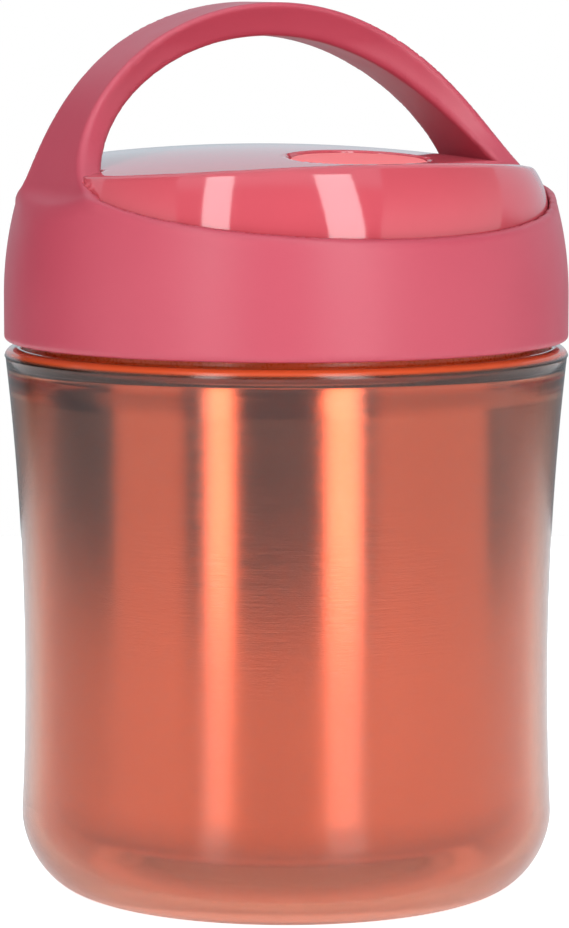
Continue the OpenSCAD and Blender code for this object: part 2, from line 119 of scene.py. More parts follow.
def mesh_piece(name, points, faces, material, smooth=True):
    """A mesh object from points in millimetres."""
    mesh = bpy.data.meshes.new(name)
    mesh.from_pydata([tuple(float(c) * MM for c in p) for p in points], [], [tuple(f) for f in faces])
    mesh.validate()
    mesh.polygons.foreach_set("use_smooth", [smooth] * len(mesh.polygons))
    mesh.materials.append(material)
    piece = bpy.data.objects.new(name, mesh)
    bpy.context.scene.collection.objects.link(piece)
    return piece


def ramp(tree, value, ends, low, high, smooth=True):
    """A node that takes value, as it goes between the two ends, from low to high."""
    made = tree.nodes.new("ShaderNodeMapRange")
    if smooth:
        made.interpolation_type = "SMOOTHSTEP"
    for socket, number in (("From Min", ends[0]), ("From Max", ends[1]), ("To Min", low), ("To Max", high)):
        made.inputs[socket].default_value = number
    tree.links.new(value, made.inputs["Value"])
    return made


table_acrylic, tree = new_material("table_acrylic")
acrylic = tree.nodes.new("ShaderNodeBsdfPrincipled")
acrylic.inputs["Base Color"].default_value = (*TABLE_WHITE, 1)
acrylic.inputs["Roughness"].default_value = TABLE_ROUGH
acrylic.inputs["Emission Color"].default_value = (1, 1, 1, 1)
path = tree.nodes.new("ShaderNodeLightPath")
glow = ramp(tree, path.outputs["Is Camera Ray"], (0, 1), TABLE_GLOW, TABLE_SEEN, smooth=False)
tree.links.new(glow.outputs[0], acrylic.inputs["Emission Strength"])
tree.links.new(acrylic.outputs[0], tree.nodes["out"].inputs["Surface"])
table_turns = [2 * math.pi * i / TABLE_SIDES for i in range(TABLE_SIDES)]
table = mesh_piece("table_top", [(TABLE_R * math.cos(a), TABLE_R * math.sin(a), 0) for a in table_turns],
                   [range(TABLE_SIDES)], table_acrylic, smooth=False)

for name, ((left, right), (foot, head), lean, brightness) in PANELS.items():
    cloth_material, tree = new_material(name + "_cloth")
    cloth = tree.nodes.new("ShaderNodeEmission")
    where = tree.nodes.new("ShaderNodeTexCoord")
    split = tree.nodes.new("ShaderNodeSeparateXYZ")
    tree.links.new(where.outputs["Generated"], split.inputs[0])
    head_brightness = BOARD_HEAD if name.endswith("board") else brightness
    fall = ramp(tree, split.outputs["Z"], BOARD_FADE, brightness, head_brightness)
    tree.links.new(fall.outputs[0], cloth.inputs["Strength"])
    tree.links.new(cloth.outputs[0], tree.nodes["out"].inputs["Surface"])
    points = []
    for i in range(PANEL_ROWS + 1):
        up = math.radians(foot + (head - foot) * i / PANEL_ROWS)
        leant = lean * max(0, up) / math.radians(LEAN_UP)
        for j in range(PANEL_COLUMNS + 1):
            side = math.radians(left + (right - left) * j / PANEL_COLUMNS + leant)
            across = 2 * math.cos(up) ** 2 * math.sin(side) * math.cos(side)
            nearer = 2 * (math.cos(up) * math.cos(side)) ** 2 - 1
            height = 2 * math.sin(up) * math.cos(up) * math.cos(side)
            x = across * math.cos(CAMERA_AZIMUTH) + nearer * math.sin(CAMERA_AZIMUTH)
            y = across * math.sin(CAMERA_AZIMUTH) - nearer * math.cos(CAMERA_AZIMUTH)
            points.append((PANEL_AWAY * x, PANEL_AWAY * y, PANEL_AWAY * height))
    row = PANEL_COLUMNS + 1
    faces = [(i * row + j, i * row + j + 1, (i + 1) * row + j + 1, (i + 1) * row + j)
             for i in range(PANEL_ROWS) for j in range(PANEL_COLUMNS)]
    panel = mesh_piece(name, points, faces, cloth_material, smooth=False)
    panel.visible_camera = False

world = bpy.data.worlds.new("room")
bpy.context.scene.world = world
world.use_nodes = True
tree = world.node_tree
tree.nodes.clear()
world_out = tree.nodes.new("ShaderNodeOutputWorld")
backdrop = tree.nodes.new("ShaderNodeBackground")
backdrop.inputs["Color"].default_value = (1, 1, 1, 1)
room = tree.nodes.new("ShaderNodeBackground")
room.inputs["Color"].default_value = ROOM_COOL
path = tree.nodes.new("ShaderNodeLightPath")
pick = tree.nodes.new("ShaderNodeMixShader")
where = tree.nodes.new("ShaderNodeTexCoord")
away = tree.nodes.new("ShaderNodeVectorMath")
away.operation = "DOT_PRODUCT"
away.inputs[1].default_value = (-math.sin(CAMERA_AZIMUTH), math.cos(CAMERA_AZIMUTH), 1.0)
split = tree.nodes.new("ShaderNodeSeparateXYZ")
tree.links.new(where.outputs["Generated"], away.inputs[0])
tree.links.new(where.outputs["Generated"], split.inputs[0])
fade = ramp(tree, away.outputs["Value"], ROOM_FADE, ROOM_DARK, ROOM_LIGHT)
floor_fade = ramp(tree, split.outputs["Z"], FLOOR_FADE, ROOM_LOW, 1)
strength = tree.nodes.new("ShaderNodeMath")
strength.operation = "MULTIPLY"
tree.links.new(fade.outputs[0], strength.inputs[0])
tree.links.new(floor_fade.outputs[0], strength.inputs[1])
tree.links.new(strength.outputs[0], room.inputs["Strength"])
tree.links.new(path.outputs["Is Camera Ray"], pick.inputs[0])
tree.links.new(room.outputs[0], pick.inputs[1])
tree.links.new(backdrop.outputs[0], pick.inputs[2])
tree.links.new(pick.outputs[0], world_out.inputs["Surface"])
bpy.context.scene.view_settings.view_transform = "Standard"

# ---- Outer shell ----
# One injection moulding in clear copper-tinted plastic. The wall is satin outside, which blurs the
# steel vessel behind it, and polished inside. The rim's top edge is polished, and a cloudy, deeper red
# band at the rim is painted glow of light shining through the clear rim. The foot is a little cloudy.
WAIST_R = 48.6
WAIST_Z = 41
WALL_SWEEP_R = 520
SHELL_T = 2.8
SHELL_FLOOR_T = 3
SHELL_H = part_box("outer_shell")[1][2] / MM
CORNER_W = 11
CORNER_H = 14
FOOT_RECESS = 0.8
FOOT_RING_W = 6
RIM_ROUND = 2
SEAT_CHAMFER = 0.5
LEDGE_Z = SHELL_H - 3
LEDGE_W = 1.4
LEDGE_T = 1.5
LEDGE_SLOPE = 2.5
RIM_POLISH_H = 0.5          # polished band below the rim's top
RIM_GLOW_PAINT_H = 1.4            # band of deeper red that paints the rim's glow
RIM_GLOW_CLOUD_H = 1.1           # band that is made cloudy, so that the painted glow shows
FOOT_CLOUD_H = CORNER_H - 2
SHELL_TINT = (0.84, 0.33, 0.205)
# Deeper red of the rim band: painted glow of light shining through the clear rim
RIM_GLOW_PAINT = (0.85, 0.11, 0.03)
RIM_GLOW_CLEAR = 0.35            # share of the light that the cloudy rim band with the painted glow lets through
FOOT_CLEAR = 0.8            # the same of the foot
SATIN = 0.17
SATIN_VARIES = 0.02
POLISH = 0.04
TRIM = 0.02                 # keeps the turned outlines inside the solids' own box


def shader(tree, **sockets):
    """The material's main shader, with constants on its own sockets."""
    skin = tree.nodes.new("ShaderNodeBsdfPrincipled")
    skin.name = "skin"
    for key, value in sockets.items():
        skin.inputs[key.replace("_", " ")].default_value = (*value, 1) if isinstance(value, tuple) else value
    tree.links.new(skin.outputs[0], tree.nodes["out"].inputs["Surface"])
    return skin


def grain(tree, size_mm, stretch=(1, 1, 1), detail=2.0):
    """Noise of about size_mm on the piece's own coordinates, longer where stretch is small."""
    where = tree.nodes.new("ShaderNodeTexCoord")
    fit = tree.nodes.new("ShaderNodeMapping")
    fit.inputs["Scale"].default_value = [s / (size_mm * MM) for s in stretch]
    noise = tree.nodes.new("ShaderNodeTexNoise")
    noise.inputs["Scale"].default_value = 1
    noise.inputs["Detail"].default_value = detail
    tree.links.new(where.outputs["Object"], fit.inputs["Vector"])
    tree.links.new(fit.outputs[0], noise.inputs["Vector"])
    return noise.outputs["Fac"]


def spread(tree, value, low, high):
    """Maps a noise value's middle range to low..high."""
    return ramp(tree, value, (0.3, 0.7), low, high, smooth=False).outputs[0]


def bump(tree, value, height_mm):
    """Raises the surface by the noise value."""
    raised = tree.nodes.new("ShaderNodeBump")
    raised.inputs["Distance"].default_value = height_mm * MM
    tree.links.new(value, raised.inputs["Height"])
    tree.links.new(raised.outputs[0], tree.nodes["skin"].inputs["Normal"])


def tint(tree, value, colour, change):
    """Varies the base colour a little with the noise value."""
    mix = tree.nodes.new("ShaderNodeMix")
    mix.data_type = "RGBA"
    mix.inputs["A"].default_value = (*[c * (1 - change) for c in colour], 1)
    mix.inputs["B"].default_value = (*[min(1, c * (1 + change)) for c in colour], 1)
    tree.links.new(value, mix.inputs["Factor"])
    tree.links.new(mix.outputs["Result"], tree.nodes["skin"].inputs["Base Color"])


def lathe(name, profile, material, steps=192):
    """A closed turned solid from a closed outline of (radius, height) points, anticlockwise."""
    points = []
    rings = []
    for r, z in profile:
        if r < 1e-6:
            rings.append([len(points)] * steps)
            points.append((0, 0, z))
            continue
        rings.append(list(range(len(points), len(points) + steps)))
        for i in range(steps):
            a = 2 * math.pi * i / steps
            points.append((r * math.cos(a), r * math.sin(a), z))
    faces = []
    for k in range(len(rings)):
        low, high = rings[k], rings[(k + 1) % len(rings)]
        if low[0] == low[1] and high[0] == high[1]:
            continue
        for i in range(steps):
            j = (i + 1) % steps
            face = list(dict.fromkeys((low[i], low[j], high[j], high[i])))
            faces.append(face)
    return mesh_piece(name, points, faces, material)


def arc(cx, cz, r, start, end, steps):
    """Points of an arc about (cx, cz), angles in degrees."""
    turns = [math.radians(start + (end - start) * i / steps) for i in range(steps + 1)]
    return [(cx + r * math.cos(a), cz + r * math.sin(a)) for a in turns]


def cubic(p0, p1, p2, p3, steps):
    """Points of a cubic curve, without its first point."""
    points = []
    for i in range(1, steps + 1):
        t = i / steps
        s = 1 - t
        points.append(tuple(s ** 3 * a + 3 * s * s * t * b + 3 * s * t * t * c + t ** 3 * d
                            for a, b, c, d in zip(p0, p1, p2, p3)))
    return points


def shell_r(z, inset=0):
    """Radius of the shell's outer wall at height z, less inset."""
    return WAIST_R - TRIM + (z - WAIST_Z) ** 2 / (2 * WALL_SWEEP_R) - inset


def wall(inset, low, high, steps=40):
    """Points up the shell's wall."""
    heights = [low + (high - low) * i / steps for i in range(steps + 1)]
    return [(shell_r(z, inset), z) for z in heights]


corner_top = (shell_r(CORNER_H), CORNER_H)
foot_r = corner_top[0] - CORNER_W
inner_top = (shell_r(CORNER_H, SHELL_T), CORNER_H)
inner_foot = foot_r - 2
shell_outline = [(0, FOOT_RECESS), (foot_r - FOOT_RING_W - FOOT_RECESS, FOOT_RECESS),
                 (foot_r - FOOT_RING_W, 0), (foot_r, 0)]
shell_outline += cubic((foot_r, 0), (foot_r + CORNER_W / 2, 0), (corner_top[0], CORNER_H / 2), corner_top, 16)
shell_outline += wall(0, CORNER_H + 2, SHELL_H - RIM_ROUND)
shell_outline += arc(shell_r(SHELL_H) - RIM_ROUND, SHELL_H - RIM_ROUND, RIM_ROUND, 10, 90, 6)
seat_r = shell_r(LEDGE_Z, SHELL_T)
shell_outline += [(seat_r + SEAT_CHAMFER, SHELL_H), (seat_r, SHELL_H - SEAT_CHAMFER), (seat_r, LEDGE_Z),
                  (seat_r - LEDGE_W, LEDGE_Z), (seat_r - LEDGE_W, LEDGE_Z - LEDGE_T)]
shell_outline += wall(SHELL_T, LEDGE_Z - LEDGE_T - LEDGE_SLOPE, CORNER_H + 2)
shell_outline += [inner_top]
shell_outline += cubic(inner_top, (inner_top[0], (CORNER_H + SHELL_FLOOR_T) / 2),
                       (inner_foot + CORNER_W / 2, SHELL_FLOOR_T), (inner_foot, SHELL_FLOOR_T), 16)
shell_outline += [(0, SHELL_FLOOR_T)]


def by_height(tree, z, spread_mm, low, high):
    """A node whose value runs from low to high round the height z."""
    where = tree.nodes.new("ShaderNodeTexCoord")
    split = tree.nodes.new("ShaderNodeSeparateXYZ")
    tree.links.new(where.outputs["Object"], split.inputs[0])
    return ramp(tree, split.outputs["Z"], ((z - spread_mm) * MM, (z + spread_mm) * MM), low, high)


def on_inside(x, y, z):
    """Whether a point of the shell's surface is on the inner face of its wall or floor."""
    slack = 0.1
    corner = 2 * max(0, 1 - z / CORNER_H) ** 2 * CORNER_W
    in_wall = math.hypot(x, y) < shell_r(z, SHELL_T / 2) - corner
    return in_wall and SHELL_FLOOR_T - slack < z < LEDGE_Z + slack


shell_outside, tree = new_material("tinted_shell_satin")
skin = shader(tree, Transmission_Weight=1.0, IOR=1.5, Specular_IOR_Level=0.35)
satin = by_height(tree, SHELL_H - RIM_POLISH_H, 0.3, SATIN, POLISH)
satin_grain = spread(tree, grain(tree, 1.2), SATIN - SATIN_VARIES, SATIN + SATIN_VARIES)
tree.links.new(satin_grain, satin.inputs["To Min"])
tree.links.new(satin.outputs[0], skin.inputs["Roughness"])
bump(tree, grain(tree, 0.3), 0.006)
shell_inside, inside_tree = new_material("tinted_shell_polished")
shader(inside_tree, Transmission_Weight=1.0, IOR=1.5, Roughness=POLISH)
bump(inside_tree, grain(inside_tree, 6), 0.002)
for tinted in (tree, inside_tree):
    skin = tinted.nodes["skin"]
    # The rim band's deeper red and cloudiness are painted glow of light through the clear rim
    painted_rim_glow = by_height(tinted, SHELL_H - RIM_GLOW_PAINT_H, 0.5, 0, 1)
    rim_glow_clear = by_height(tinted, SHELL_H - RIM_GLOW_CLOUD_H, 0.4, 1, RIM_GLOW_CLEAR)
    foot_clear = by_height(tinted, FOOT_CLOUD_H, 9, FOOT_CLEAR, 1)
    clear = tinted.nodes.new("ShaderNodeMath")
    clear.operation = "MULTIPLY"
    tinted.links.new(rim_glow_clear.outputs[0], clear.inputs[0])
    tinted.links.new(foot_clear.outputs[0], clear.inputs[1])
    tinted.links.new(clear.outputs[0], skin.inputs["Transmission Weight"])
    mix = tinted.nodes.new("ShaderNodeMix")
    mix.data_type = "RGBA"
    mix.inputs["A"].default_value = (*SHELL_TINT, 1)
    mix.inputs["B"].default_value = (*RIM_GLOW_PAINT, 1)
    tinted.links.new(painted_rim_glow.outputs[0], mix.inputs["Factor"])
    tinted.links.new(mix.outputs["Result"], skin.inputs["Base Color"])
shell = lathe("tinted_shell", shell_outline, shell_outside, steps=256)
shell.data.materials.append(shell_inside)
for face in shell.data.polygons:
    face.material_index = int(on_inside(*(c / MM for c in face.center)))
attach(shell, "jar")
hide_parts("outer_shell")

# ---- Base pad ----
# Soft foam washer, die cut from sheet. It lies on the shell's floor, inside, and carries the steel
# vessel.


def finish_node(name, material):
    """Gives one of the frame's own solids its finish."""
    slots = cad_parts[name].data.materials
    slots.clear()
    slots.append(material)


pad_foam, tree = new_material("base_pad_foam")
shader(tree, Roughness=0.9)
cells = grain(tree, 0.8)
tint(tree, cells, (0.75, 0.73, 0.70), 0.15)
bump(tree, cells, 0.15)
finish_node("base_pad", pad_foam)

# ---- Vessel's outer wall ----
# Drawn stainless sheet, necked in at the top and brushed round its axis. The closing disc is
# welded into its open bottom.
STEEL_T = 0.6
FIT = 0.1                   # play between parts that are pressed or welded together
VESSEL_R = 44.6
NECK_R = 43
NECK_STEP = (VESSEL_R - NECK_R) / 2
VESSEL_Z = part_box("vessel_outer")[0][2] / MM
MOUTH_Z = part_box("vessel_inner")[1][2] / MM
VESSEL_CORNER_R = 10
SHOULDER_Z = LEDGE_Z - 0.5
CLOSING_R = 31.1
STEEL_COLOUR = (0.75, 0.72, 0.70)


def brushed(name, colour, low, high, depth_mm=0.01, stretch=(0.06, 0.06, 3)):
    """Metal with fine lines round the Z axis."""
    made, tree = new_material(name)
    skin = shader(tree, Metallic=1.0)
    lines = grain(tree, 0.5, stretch)
    tree.links.new(spread(tree, lines, low, high), skin.inputs["Roughness"])
    tint(tree, lines, colour, 0.05)
    bump(tree, lines, depth_mm)
    return made


vessel_steel = brushed("vessel_steel", STEEL_COLOUR, 0.12, 0.20)
vessel_outline = [(CLOSING_R, VESSEL_Z)]
vessel_outline += arc(VESSEL_R - VESSEL_CORNER_R, VESSEL_Z + VESSEL_CORNER_R, VESSEL_CORNER_R, -90, 0, 16)
vessel_outline += arc(VESSEL_R - NECK_STEP, SHOULDER_Z, NECK_STEP, 0, 90, 8)
vessel_outline += [(NECK_R, SHOULDER_Z + NECK_STEP), (NECK_R, MOUTH_Z - FIT),
                   (NECK_R - STEEL_T, MOUTH_Z - FIT), (NECK_R - STEEL_T, SHOULDER_Z + NECK_STEP - STEEL_T)]
vessel_outline += arc(VESSEL_R - NECK_STEP, SHOULDER_Z, NECK_STEP - STEEL_T, 90, 0, 8)
vessel_outline += arc(VESSEL_R - VESSEL_CORNER_R, VESSEL_Z + VESSEL_CORNER_R,
                      VESSEL_CORNER_R - STEEL_T, 0, -90, 16)
vessel_outline += [(CLOSING_R, VESSEL_Z + STEEL_T)]
vessel = lathe("vessel_outer_wall", vessel_outline, vessel_steel)
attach(vessel, "jar")
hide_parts("vessel_outer")

# ---- Food bowl ----
# The vessel's inner wall: deep drawn stainless, electropolished, with its lip turned out over
# the outer wall's edge and seam welded to it.
BOWL_R = 39
BOWL_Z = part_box("vessel_inner")[0][2] / MM
BOWL_CORNER_R = 9
LIP_ROUND = 0.3
bowl_steel = brushed("bowl_steel", (0.80, 0.79, 0.78), 0.10, 0.16, 0.004)
lip_r = NECK_R - STEEL_T - FIT
under_lip_z = MOUTH_Z - FIT - STEEL_T
bowl_outline = [(0, BOWL_Z)]
bowl_outline += arc(BOWL_R - BOWL_CORNER_R, BOWL_Z + STEEL_T + BOWL_CORNER_R,
                    BOWL_CORNER_R + STEEL_T, -90, 0, 16)
bowl_outline += [(BOWL_R + STEEL_T, under_lip_z), (lip_r, under_lip_z)]
bowl_outline += arc(lip_r - LIP_ROUND, MOUTH_Z - LIP_ROUND, LIP_ROUND, 0, 90, 4)
bowl_outline += arc(BOWL_R + LIP_ROUND, MOUTH_Z - LIP_ROUND, LIP_ROUND, 90, 180, 4)
bowl_outline += arc(BOWL_R - BOWL_CORNER_R, BOWL_Z + STEEL_T + BOWL_CORNER_R, BOWL_CORNER_R, 0, -90, 16)
bowl_outline += [(0, BOWL_Z + STEEL_T)]
bowl = lathe("food_bowl", bowl_outline, bowl_steel)
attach(bowl, "jar")
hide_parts("vessel_inner")

# ---- Closing disc, getter and vacuum plug ----
# The disc is pressed stainless, welded in under vacuum. The getter pellet is sintered powder and
# the plug is a drop of solder glass over the evacuation hole.
disc_steel = brushed("disc_steel", STEEL_COLOUR, 0.3, 0.4)
getter_powder, tree = new_material("getter_powder")
shader(tree, Metallic=0.6, Roughness=0.75)
specks = grain(tree, 0.3)
tint(tree, specks, (0.22, 0.22, 0.24), 0.4)
bump(tree, specks, 0.05)
seal_glass, tree = new_material("solder_glass")
shader(tree, Roughness=0.15, Transmission_Weight=0.6)
tint(tree, grain(tree, 1.5), (0.45, 0.52, 0.50), 0.15)
for name, material in (("closing_disc", disc_steel), ("getter", getter_powder), ("vacuum_plug", seal_glass)):
    finish_node(name, material)

# ---- Neck ring ----
# Moulded ring snapped round the vessel's neck. Its flange closes the shell's rim with a trimmed
# grey edge, and its sleeve carries a three-start thread, so that two thirds of a turn free the lid.
FLANGE_T = 1.8
FLANGE_DROP = 0.6           # from the shell's top down to the flange's
FLANGE_ROUND = 0.4
ROOT_ROUND = 0.6            # rounding where the sleeve meets the flange
SLEEVE_ROUND = 0.5          # rounding of the sleeve's top edge
GREY_EDGE_W = 0.3           # width of the trimmed edge on the flange's top
FLANGE_Z = SHELL_H - FLANGE_DROP - FLANGE_T
NECK_CORE_R = 44.9
THREAD_LEAD = 9
THREAD_STARTS = 3
THREAD_DEPTH = 1.2
THREAD_H = 1.3
RIDGE_TURN = 0.3            # turns that each ridge runs
RIDGE_SINK = 0.1            # how far a ridge's root lies in its wall
RIDGE_ROUND = 0.3
NECK_RIDGE_Z = 101.9
RIDGE_PITCH = THREAD_LEAD / THREAD_STARTS
RING_RED = (1.0, 0.16, 0.04)
FLANGE_GREY = (0.36, 0.34, 0.38)

ring_plastic, tree = new_material("ring_plastic")
skin = shader(tree, Subsurface_Weight=0.15)
fine = grain(tree, 0.6)
tint(tree, fine, RING_RED, 0.06)
tree.links.new(spread(tree, fine, 0.24, 0.34), skin.inputs["Roughness"])
bump(tree, fine, 0.006)


def thread_tree(name):
    """Geometry Nodes tree: equal helical ridges, one for each start, swept along a spiral."""
    made = bpy.data.node_groups.new(name, "GeometryNodeTree")
    face = made.interface
    wanted = {}
    for label, kind in (("Radius", "NodeSocketFloat"), ("Ridge depth", "NodeSocketFloat"),
                        ("Ridge height", "NodeSocketFloat"), ("Lead", "NodeSocketFloat"),
                        ("Turns", "NodeSocketFloat"), ("Starts", "NodeSocketInt"),
                        ("Lowest point", "NodeSocketFloat"), ("Material", "NodeSocketMaterial")):
        wanted[label] = face.new_socket(name=label, in_out="INPUT", socket_type=kind).identifier
    face.new_socket(name="Geometry", in_out="OUTPUT", socket_type="NodeSocketGeometry")
    node = made.nodes.new
    link = made.links.new
    given = node("NodeGroupInput")
    spiral = node("GeometryNodeCurveSpiral")
    spiral.inputs["Resolution"].default_value = 96
    spiral.inputs["Reverse"].default_value = True
    rise = node("ShaderNodeMath")
    rise.operation = "MULTIPLY"
    link(given.outputs["Lead"], rise.inputs[0])
    link(given.outputs["Turns"], rise.inputs[1])
    link(given.outputs["Turns"], spiral.inputs["Rotations"])
    link(given.outputs["Radius"], spiral.inputs["Start Radius"])
    link(given.outputs["Radius"], spiral.inputs["End Radius"])
    link(rise.outputs[0], spiral.inputs["Height"])
    upright = node("GeometryNodeSetCurveNormal")
    upright.mode = "Z_UP"
    link(spiral.outputs["Curve"], upright.inputs["Curve"])
    ridge = node("GeometryNodeCurvePrimitiveQuadrilateral")
    ridge.mode = "RECTANGLE"
    link(given.outputs["Ridge depth"], ridge.inputs["Width"])
    link(given.outputs["Ridge height"], ridge.inputs["Height"])
    rounded = node("GeometryNodeFilletCurve")
    rounded.mode = "POLY"
    rounded.inputs["Count"].default_value = 3
    rounded.inputs["Radius"].default_value = RIDGE_ROUND * MM
    link(ridge.outputs["Curve"], rounded.inputs["Curve"])
    sweep = node("GeometryNodeCurveToMesh")
    sweep.inputs["Fill Caps"].default_value = True
    link(upright.outputs["Curve"], sweep.inputs["Curve"])
    link(rounded.outputs["Curve"], sweep.inputs["Profile Curve"])
    starts = node("GeometryNodePoints")
    link(given.outputs["Starts"], starts.inputs["Count"])
    place = node("ShaderNodeCombineXYZ")
    link(given.outputs["Lowest point"], place.inputs["Z"])
    link(place.outputs[0], starts.inputs["Position"])
    index = node("GeometryNodeInputIndex")
    share = node("ShaderNodeMath")
    share.operation = "DIVIDE"
    link(index.outputs[0], share.inputs[0])
    link(given.outputs["Starts"], share.inputs[1])
    turn = node("ShaderNodeMath")
    turn.operation = "MULTIPLY"
    turn.inputs[1].default_value = 2 * math.pi
    link(share.outputs[0], turn.inputs[0])
    spin = node("ShaderNodeCombineXYZ")
    link(turn.outputs[0], spin.inputs["Z"])
    copies = node("GeometryNodeInstanceOnPoints")
    link(starts.outputs[0], copies.inputs["Points"])
    link(sweep.outputs[0], copies.inputs["Instance"])
    link(spin.outputs[0], copies.inputs["Rotation"])
    real = node("GeometryNodeRealizeInstances")
    paint = node("GeometryNodeSetMaterial")
    result = node("NodeGroupOutput")
    link(copies.outputs[0], real.inputs[0])
    link(real.outputs[0], paint.inputs["Geometry"])
    link(given.outputs["Material"], paint.inputs["Material"])
    link(paint.outputs[0], result.inputs[0])
    return made, wanted


thread_nodes, thread_inputs = thread_tree("thread_ridges")


def thread(name, radius, lowest, material):
    """Helical ridges as a plain mesh; radius is the ridge's middle."""
    carrier = bpy.data.objects.new(name + "_carrier", bpy.data.meshes.new(name + "_carrier"))
    bpy.context.scene.collection.objects.link(carrier)
    maker = carrier.modifiers.new("ridges", "NODES")
    maker.node_group = thread_nodes
    for label, value in (("Radius", radius * MM), ("Ridge depth", THREAD_DEPTH * MM),
                         ("Ridge height", THREAD_H * MM), ("Lead", THREAD_LEAD * MM),
                         ("Turns", RIDGE_TURN), ("Starts", THREAD_STARTS),
                         ("Lowest point", lowest * MM), ("Material", material)):
        maker[thread_inputs[label]] = value
    shaped = carrier.evaluated_get(bpy.context.evaluated_depsgraph_get())
    mesh = bpy.data.meshes.new_from_object(shaped)
    bpy.data.objects.remove(carrier)
    piece = bpy.data.objects.new(name, mesh)
    bpy.context.scene.collection.objects.link(piece)
    return piece


sleeve_top = MOUTH_Z - 1
flange_r = shell_r(FLANGE_Z, SHELL_T) - FIT
ring_outline = [(NECK_R + FIT, FLANGE_Z), (flange_r, FLANGE_Z),
                (flange_r, FLANGE_Z + FLANGE_T - FLANGE_ROUND)]
ring_outline += arc(flange_r - FLANGE_ROUND, FLANGE_Z + FLANGE_T - FLANGE_ROUND, FLANGE_ROUND, 0, 90, 4)
ring_outline += arc(NECK_CORE_R + ROOT_ROUND, FLANGE_Z + FLANGE_T + ROOT_ROUND, ROOT_ROUND, -90, -180, 4)
ring_outline += arc(NECK_CORE_R - SLEEVE_ROUND, sleeve_top - SLEEVE_ROUND, SLEEVE_ROUND, 0, 90, 4)
ring_outline += [(NECK_R + FIT, sleeve_top)]
neck_ring = lathe("neck_ring_sleeve", ring_outline, ring_plastic)
flange_edge, tree = new_material("flange_edge")
skin = shader(tree)
scuff = grain(tree, 0.5)
tint(tree, scuff, FLANGE_GREY, 0.1)
tree.links.new(spread(tree, scuff, 0.3, 0.5), skin.inputs["Roughness"])
neck_ring.data.materials.append(flange_edge)
for face in neck_ring.data.polygons:
    x, y, z = (c / MM for c in face.center)
    face.material_index = int(math.hypot(x, y) > flange_r - GREY_EDGE_W)
neck_thread = thread("neck_ring_thread", NECK_CORE_R + THREAD_DEPTH / 2 - RIDGE_SINK,
                     NECK_RIDGE_Z, ring_plastic)
for piece in (neck_ring, neck_thread):
    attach(piece, "jar")
    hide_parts("neck_ring")

# ---- Silicone parts ----
# Neck gasket, lid gasket, plug wiper and valve disc: moulded translucent silicone, stretched over
# their seats. The lid gasket has a raised bead that meets the vessel's lip.
silicone, tree = new_material("silicone")
skin = shader(tree, Roughness=0.42, Subsurface_Weight=0.4)
skin.inputs["Subsurface Radius"].default_value = (0.002, 0.002, 0.002)
haze = grain(tree, 0.9)
tint(tree, haze, (0.80, 0.80, 0.77), 0.05)
bump(tree, haze, 0.01)
for name in ("neck_gasket", "vent_valve"):
    finish_node(name, silicone)
GASKET_T = 2
PLUG_R = 37.4
WIPER_T = 3
WIPER_Z = MOUTH_Z - 4.4
gasket_outline = [(PLUG_R + FIT, MOUTH_Z), (NECK_R - 0.5, MOUTH_Z)]
gasket_outline += arc(NECK_R - 0.8, MOUTH_Z + 0.6, 0.6, 0, 90, 6)
gasket_outline += [(NECK_R - 1.6, MOUTH_Z + 1.4), (NECK_R - 1.6, MOUTH_Z + GASKET_T),
                   (PLUG_R + FIT, MOUTH_Z + GASKET_T)]
wiper_outline = [(PLUG_R + FIT, WIPER_Z)]
wiper_outline += arc(BOWL_R - FIT - WIPER_T / 4, WIPER_Z + WIPER_T / 2, WIPER_T / 4, -90, 90, 6)
wiper_outline += [(PLUG_R + FIT, WIPER_Z + WIPER_T)]
for name, node, outline, body in (("lid_gasket_ring", "lid_gasket", gasket_outline, "lid_riser"),
                                  ("plug_wiper_ring", "plug_wiper", wiper_outline, "lid_lifter")):
    piece = lathe(name, outline, silicone)
    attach(piece, body)
    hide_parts(node)

# ---- Inner cup ----
# One moulding in natural polypropylene: threaded sleeve, web over the mouth and the plug's wall.
# It is spin welded into the collar.
CUP_T = 1.7
CUP_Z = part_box("handle_collar")[0][2] / MM + 0.5
WEB_Z = MOUTH_Z + GASKET_T
SLEEVE_R = 48.7
THREAD_ROOT_R = 46.9
DECK_Z = 119
DECK_T = 2
PLATE_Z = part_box("plug_plate")[0][2] / MM
PLATE_T = 2
cup_plastic, tree = new_material("cup_plastic")
skin = shader(tree, Subsurface_Weight=0.3)
skin.inputs["Subsurface Radius"].default_value = (0.003, 0.003, 0.003)
flow = grain(tree, 1.5)
tint(tree, flow, (0.82, 0.80, 0.77), 0.03)
tree.links.new(spread(tree, flow, 0.30, 0.42), skin.inputs["Roughness"])
bump(tree, grain(tree, 0.4), 0.006)
cup_outline = [(THREAD_ROOT_R, CUP_Z + 0.4), (THREAD_ROOT_R + 0.4, CUP_Z), (SLEEVE_R, CUP_Z),
               (SLEEVE_R, DECK_Z - DECK_T - FIT), (SLEEVE_R - CUP_T, DECK_Z - DECK_T - FIT),
               (SLEEVE_R - CUP_T, WEB_Z + CUP_T), (PLUG_R - CUP_T, WEB_Z + CUP_T),
               (PLUG_R - CUP_T, PLATE_Z + PLATE_T), (PLUG_R, PLATE_Z + PLATE_T), (PLUG_R, WEB_Z)]
cup_outline += [(THREAD_ROOT_R - 1, WEB_Z)] + arc(THREAD_ROOT_R - 1, WEB_Z - 1, 1, 90, 0, 6)
cup = lathe("lid_cup_sleeve", cup_outline, cup_plastic)
lid_thread = thread("lid_cup_thread", THREAD_ROOT_R - THREAD_DEPTH / 2 + RIDGE_SINK,
                    NECK_RIDGE_Z + RIDGE_PITCH / 2, cup_plastic)
for piece in (cup, lid_thread):
    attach(piece, "lid")
    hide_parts("lid_cup")

